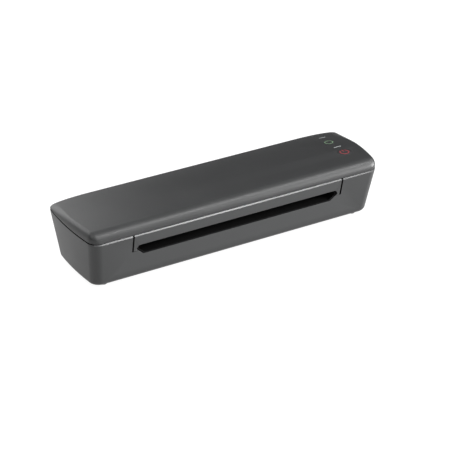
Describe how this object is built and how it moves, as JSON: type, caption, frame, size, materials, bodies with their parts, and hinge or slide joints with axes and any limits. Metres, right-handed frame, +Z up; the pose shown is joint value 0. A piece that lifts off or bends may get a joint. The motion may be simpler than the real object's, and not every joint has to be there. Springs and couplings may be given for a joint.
{
  "type": "pouch laminator",
  "caption": "Low tapered desktop casing with an arched cover, a wide front slot, a rear slot, heated silicone rollers, a geared motor and a release lever.",
  "frame": {"origin": "on the table, under the middle of the casing's bounding box", "axes": "+X along the casing to the right as seen from the front slot, +Y from the front slot to the rear slot, +Z up"},
  "size_m": [0.3592, 0.1045, 0.0705],
  "materials": {
    "case_plastic": "fine-textured charcoal injection-moulded plastic",
    "mouth_plastic": "heat-resistant black plastic",
    "rubber": "soft black rubber",
    "zinc_steel": "zinc-plated steel",
    "ground_steel": "ground steel shaft",
    "heat_aluminium": "extruded aluminium",
    "silicone": "silicone rubber",
    "white_nylon": "natural nylon",
    "black_insulation": "black insulated heater strip and component bodies",
    "circuit_board": "green solder mask",
    "green_lens": "clear tinted lens, pale green",
    "red_lens": "clear tinted lens, red",
    "led_lens": "clear diffused lens",
    "white_lead": "white wire insulation",
    "red_lead": "red silicone wire insulation"
  },
  "bodies": {
    "casing": {"lower_housing": "case_plastic", "top_cover": "case_plastic", "front_visor": "case_plastic", "exit_mouth": "mouth_plastic", "entry_mouth": "mouth_plastic", "rubber_feet": "rubber", "case_screws": "zinc_steel", "left_frame_plate": "zinc_steel", "right_frame_plate": "zinc_steel", "frame_screws": "zinc_steel", "tie_rods": "ground_steel", "lower_bushes": "white_nylon", "spring_holders": "white_nylon", "pressure_springs": "zinc_steel", "upper_heat_shell": "heat_aluminium", "lower_heat_shell": "heat_aluminium", "upper_heater_strip": "black_insulation", "lower_heater_strip": "black_insulation", "thermostat": "zinc_steel", "thermal_fuse": "zinc_steel", "exit_guide_upper": "mouth_plastic", "exit_guide_lower": "mouth_plastic", "entry_guide_upper": "mouth_plastic", "entry_guide_lower": "mouth_plastic", "motor": "zinc_steel", "motor_posts": "zinc_steel", "motor_screws": "zinc_steel", "ready_ring_lens": "green_lens", "control_board": "circuit_board", "board_components": "black_insulation", "board_screws": "zinc_steel", "tact_switch": "black_insulation", "indicator_leds": "led_lens", "cord_gland": "mouth_plastic", "motor_leads": "white_lead", "heater_leads": "red_lead"},
    "lower_roller": {"lower_roller_sleeve": "silicone", "lower_roller_shaft": "ground_steel", "lower_roller_gear": "white_nylon", "lower_shaft_clips": "zinc_steel"},
    "carriage": {"upper_bushes": "white_nylon"},
    "upper_roller": {"upper_roller_sleeve": "silicone", "upper_roller_shaft": "ground_steel", "upper_roller_gear": "white_nylon", "upper_shaft_clips": "zinc_steel"},
    "motor_drive": {"motor_output_shaft": "ground_steel", "motor_gear": "white_nylon"},
    "lever": {"release_cam_shaft": "ground_steel", "release_lever": "mouth_plastic"},
    "button": {"power_button": "case_plastic", "power_ring_lens": "red_lens"}
  },
  "joints": [
    {"name": "lower_roller_spin", "type": "hinge", "parent": "casing", "child": "lower_roller", "pos_m": [0, 0, 0.0285], "axis": [1, 0, 0], "continuous": true},
    {"name": "carriage_lift", "type": "slide", "parent": "casing", "child": "carriage", "axis": [0, 0, 1], "range_m": [0, 0.00155], "deforming": ["pressure_springs"]},
    {"name": "upper_roller_spin", "type": "hinge", "parent": "carriage", "child": "upper_roller", "pos_m": [0, 0, 0.0485], "axis": [1, 0, 0], "continuous": true},
    {"name": "motor_spin", "type": "hinge", "parent": "casing", "child": "motor_drive", "pos_m": [-0.135, 0.01691, 0.02234], "axis": [1, 0, 0], "continuous": true},
    {"name": "release_lever_turn", "type": "hinge", "parent": "casing", "child": "lever", "pos_m": [0, 0.019, 0.04858], "axis": [1, 0, 0], "range_deg": [0, 30]},
    {"name": "power_button_press", "type": "slide", "parent": "casing", "child": "button", "axis": [0, 0, -1], "range_m": [0, 0.0008], "stiffness_N_per_m": 800}
  ],
  "couplings": [
    {"joint": "upper_roller_spin", "follows": "lower_roller_spin", "ratio": -1},
    {"joint": "motor_spin", "follows": "lower_roller_spin", "ratio": -1.25},
    {"joint": "release_lever_turn", "follows": "carriage_lift", "rad_per_m": 337.8}
  ]
}
